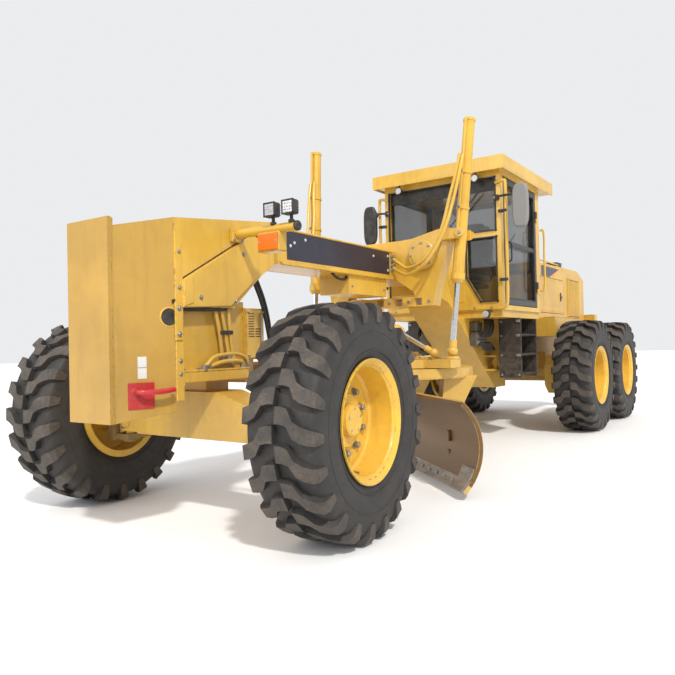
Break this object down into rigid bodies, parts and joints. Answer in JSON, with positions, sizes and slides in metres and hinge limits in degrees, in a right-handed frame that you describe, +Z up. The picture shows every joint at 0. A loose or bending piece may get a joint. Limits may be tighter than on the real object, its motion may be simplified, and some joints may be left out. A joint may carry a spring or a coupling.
{
  "type": "motor grader",
  "caption": "Motor grader with a hinged rear frame on tandem wheels, a leaning and steering front axle, a cab, and a blade under a turning circle on a drawbar.",
  "frame": {"origin": "on the ground, under the middle of the machine", "axes": "+X to the machine's left, +Y rearward, +Z up"},
  "size_m": [2.8231, 8.899, 3.1165],
  "materials": {
    "yellow": "semi-gloss yellow paint",
    "rim": "semi-gloss yellow paint",
    "black": "satin black paint",
    "tyre": "worn rubber with dry dust",
    "chrome": "polished hard chrome",
    "blade_steel": "worn brown steel",
    "glass": "tinted glass",
    "cloth": "woven cloth",
    "iron": "painted casting"
  },
  "bodies": {
    "articulation": {"engine": "iron", "exhaust": "black", "hood": "yellow", "rear_frame": "yellow", "tandem_left": "yellow", "tandem_right": "yellow"},
    "blade_shift": {"blade": "blade_steel"},
    "blade_tip": {"blade_bracket": "yellow"},
    "centre_shift_barrel": {"centre_shift_barrel": "yellow"},
    "centre_shift_rod": {"centre_shift_rod": "chrome"},
    "circle": {"circle": "yellow"},
    "door_left": {"door_glass_left": "glass", "door_left": "black"},
    "door_right": {"door_glass_right": "glass", "door_right": "black"},
    "drawbar": {"drawbar": "yellow"},
    "drawbar_ball": {"drawbar_ball": "iron"},
    "engine_door_left": {"engine_door_left": "yellow"},
    "engine_door_right": {"engine_door_right": "yellow"},
    "hitch_left_barrel": {"hitch_left_barrel": "yellow"},
    "hitch_left_rod": {"hitch_left_rod": "chrome"},
    "hitch_right_barrel": {"hitch_right_barrel": "yellow"},
    "hitch_right_rod": {"hitch_right_rod": "chrome"},
    "lean_bar": {"lean_bar": "yellow"},
    "lean_left": {"axle_end_left": "yellow"},
    "lean_right": {"axle_end_right": "yellow"},
    "lift_left_barrel": {"lift_left_barrel": "yellow"},
    "lift_left_rod": {"lift_left_rod": "chrome"},
    "lift_right_barrel": {"lift_right_barrel": "yellow"},
    "lift_right_rod": {"lift_right_rod": "chrome"},
    "main_frame": {"cab": "yellow", "front_axle": "yellow", "front_frame": "yellow", "ladder_left": "black", "ladder_right": "black", "lamp_arm_left": "yellow", "lamp_arm_right": "yellow", "lift_saddle": "yellow", "mirror_left": "black", "mirror_right": "black", "push_block": "yellow", "rear_window": "glass", "seat": "cloth", "steering_console": "black", "windscreen": "glass"},
    "steer_left": {"knuckle_left": "iron"},
    "steer_right": {"knuckle_right": "iron"},
    "wheel_front_left": {"rim_front_left": "rim", "tyre_front_left": "tyre"},
    "wheel_front_right": {"rim_front_right": "rim", "tyre_front_right": "tyre"},
    "wheel_middle_left": {"rim_middle_left": "rim", "tyre_middle_left": "tyre"},
    "wheel_middle_right": {"rim_middle_right": "rim", "tyre_middle_right": "tyre"},
    "wheel_rear_left": {"rim_rear_left": "rim", "tyre_rear_left": "tyre"},
    "wheel_rear_right": {"rim_rear_right": "rim", "tyre_rear_right": "tyre"}
  },
  "joints": [
    {"name": "articulation_hinge", "type": "hinge", "parent": "main_frame", "child": "articulation", "pos_m": [0, 1.385, 0.95], "axis": [0, 0, 1], "range_deg": [-20, 20]},
    {"name": "blade_shift_slide", "type": "slide", "parent": "blade_tip", "child": "blade_shift", "axis": [0.7431, -0.6691, 0], "range_m": [-0.55, 0.55]},
    {"name": "blade_tip_hinge", "type": "hinge", "parent": "circle", "child": "blade_tip", "pos_m": [0.20074, -0.89206, 0.33], "axis": [0.7431, -0.6691, 0], "range_deg": [-5, 40]},
    {"name": "centre_shift_barrel_hinge", "type": "hinge", "parent": "main_frame", "child": "centre_shift_barrel", "pos_m": [-0.2, -1.4623, 1.485], "axis": [0, 1, 0], "range_deg": [-42, 42]},
    {"name": "centre_shift_rod_slide", "type": "slide", "parent": "centre_shift_barrel", "child": "centre_shift_rod", "axis": [0.8699, 0, -0.4933], "range_m": [-0.31, 0.31]},
    {"name": "circle_turn", "type": "hinge", "parent": "drawbar", "child": "circle", "pos_m": [0, -1.115, 0.88], "axis": [0, 0, 1], "continuous": true},
    {"name": "door_left_hinge", "type": "hinge", "parent": "main_frame", "child": "door_left", "pos_m": [0.71, 1.153, 2], "axis": [0, 0, 1], "range_deg": [0, 75]},
    {"name": "door_right_hinge", "type": "hinge", "parent": "main_frame", "child": "door_right", "pos_m": [-0.71, 1.153, 2], "axis": [0, 0, -1], "range_deg": [0, 75]},
    {"name": "drawbar_hinge", "type": "hinge", "parent": "drawbar_ball", "child": "drawbar", "pos_m": [0, -3.095, 0.92], "axis": [1, 0, 0], "range_deg": [-20, 12]},
    {"name": "drawbar_ball_hinge", "type": "hinge", "parent": "main_frame", "child": "drawbar_ball", "pos_m": [0, -3.095, 0.92], "axis": [0, 0, 1], "range_deg": [-9, 9]},
    {"name": "engine_door_left_hinge", "type": "hinge", "parent": "articulation", "child": "engine_door_left", "pos_m": [0.51, 1.852, 1.75], "axis": [0, 0, -1], "range_deg": [0, 80]},
    {"name": "engine_door_right_hinge", "type": "hinge", "parent": "articulation", "child": "engine_door_right", "pos_m": [-0.51, 1.852, 1.75], "axis": [0, 0, 1], "range_deg": [0, 80]},
    {"name": "hitch_left_barrel_hinge", "type": "hinge", "parent": "main_frame", "child": "hitch_left_barrel", "pos_m": [0.345, 0.685, 0.86], "axis": [0, 0, 1], "range_deg": [-12, 12]},
    {"name": "hitch_left_rod_slide", "type": "slide", "parent": "hitch_left_barrel", "child": "hitch_left_rod", "axis": [0, 1, 0], "range_m": [-0.17, 0.17]},
    {"name": "hitch_right_barrel_hinge", "type": "hinge", "parent": "main_frame", "child": "hitch_right_barrel", "pos_m": [-0.345, 0.685, 0.86], "axis": [0, 0, 1], "range_deg": [-12, 12]},
    {"name": "hitch_right_rod_slide", "type": "slide", "parent": "hitch_right_barrel", "child": "hitch_right_rod", "axis": [0, 1, 0], "range_m": [-0.17, 0.17]},
    {"name": "lean_bar_hinge", "type": "hinge", "parent": "lean_left", "child": "lean_bar", "pos_m": [0.68, -3.425, 0.905], "axis": [0, 1, 0], "range_deg": [-18, 18]},
    {"name": "lean_left_hinge", "type": "hinge", "parent": "main_frame", "child": "lean_left", "pos_m": [0.68, -3.565, 0.6], "axis": [0, -1, 0], "range_deg": [-18, 18]},
    {"name": "lean_right_hinge", "type": "hinge", "parent": "main_frame", "child": "lean_right", "pos_m": [-0.68, -3.565, 0.6], "axis": [0, -1, 0], "range_deg": [-18, 18]},
    {"name": "lift_left_barrel_hinge", "type": "hinge", "parent": "main_frame", "child": "lift_left_barrel", "pos_m": [0.8, -1.235, 2.06], "axis": [0, 1, 0], "range_deg": [-17, 17]},
    {"name": "lift_left_rod_slide", "type": "slide", "parent": "lift_left_barrel", "child": "lift_left_rod", "axis": [-0.052, -0.1134, -0.9922], "range_m": [-0.42, 0.66]},
    {"name": "lift_right_barrel_hinge", "type": "hinge", "parent": "main_frame", "child": "lift_right_barrel", "pos_m": [-0.8, -1.235, 2.06], "axis": [0, 1, 0], "range_deg": [-17, 17]},
    {"name": "lift_right_rod_slide", "type": "slide", "parent": "lift_right_barrel", "child": "lift_right_rod", "axis": [0.052, -0.1134, -0.9922], "range_m": [-0.42, 0.66]},
    {"name": "steer_left_hinge", "type": "hinge", "parent": "lean_left", "child": "steer_left", "pos_m": [0.8, -3.565, 0.674], "axis": [0, 0, 1], "range_deg": [-54.2, 45.8]},
    {"name": "steer_right_hinge", "type": "hinge", "parent": "lean_right", "child": "steer_right", "pos_m": [-0.8, -3.565, 0.674], "axis": [0, 0, 1], "range_deg": [-54.2, 45.8]},
    {"name": "wheel_front_left_spin", "type": "hinge", "parent": "steer_left", "child": "wheel_front_left", "pos_m": [1.06429, -3.54559, 0.674], "axis": [0.9973, 0.0732, 0], "continuous": true},
    {"name": "wheel_front_right_spin", "type": "hinge", "parent": "steer_right", "child": "wheel_front_right", "pos_m": [-1.06429, -3.58441, 0.674], "axis": [0.9973, 0.0732, 0], "continuous": true},
    {"name": "wheel_middle_left_spin", "type": "hinge", "parent": "articulation", "child": "wheel_middle_left", "pos_m": [1.065, 1.76, 0.674], "axis": [1, 0, 0], "continuous": true},
    {"name": "wheel_middle_right_spin", "type": "hinge", "parent": "articulation", "child": "wheel_middle_right", "pos_m": [-1.065, 1.76, 0.674], "axis": [1, 0, 0], "continuous": true},
    {"name": "wheel_rear_left_spin", "type": "hinge", "parent": "articulation", "child": "wheel_rear_left", "pos_m": [1.065, 3.282, 0.674], "axis": [1, 0, 0], "continuous": true},
    {"name": "wheel_rear_right_spin", "type": "hinge", "parent": "articulation", "child": "wheel_rear_right", "pos_m": [-1.065, 3.282, 0.674], "axis": [1, 0, 0], "continuous": true}
  ],
  "couplings": [
    {"joint": "centre_shift_barrel_hinge", "follows": "drawbar_hinge", "ratio": -1.71},
    {"joint": "centre_shift_rod_slide", "follows": "drawbar_hinge", "m_per_rad": -0.62},
    {"joint": "hitch_left_barrel_hinge", "follows": "articulation_hinge", "ratio": 0.378},
    {"joint": "hitch_left_rod_slide", "follows": "articulation_hinge", "m_per_rad": 0.3429},
    {"joint": "hitch_right_barrel_hinge", "follows": "articulation_hinge", "ratio": 0.378},
    {"joint": "hitch_right_rod_slide", "follows": "articulation_hinge", "m_per_rad": -0.3429},
    {"joint": "lean_bar_hinge", "follows": "lean_left_hinge", "ratio": 1},
    {"joint": "lean_right_hinge", "follows": "lean_left_hinge", "ratio": 1},
    {"joint": "lift_left_barrel_hinge", "follows": "drawbar_ball_hinge", "ratio": 1.6467},
    {"joint": "lift_left_rod_slide", "follows": "drawbar_hinge", "m_per_rad": -1.7367},
    {"joint": "lift_right_barrel_hinge", "follows": "drawbar_ball_hinge", "ratio": 1.6467},
    {"joint": "lift_right_rod_slide", "follows": "drawbar_hinge", "m_per_rad": -1.7367},
    {"joint": "steer_right_hinge", "follows": "steer_left_hinge", "ratio": 1}
  ]
}
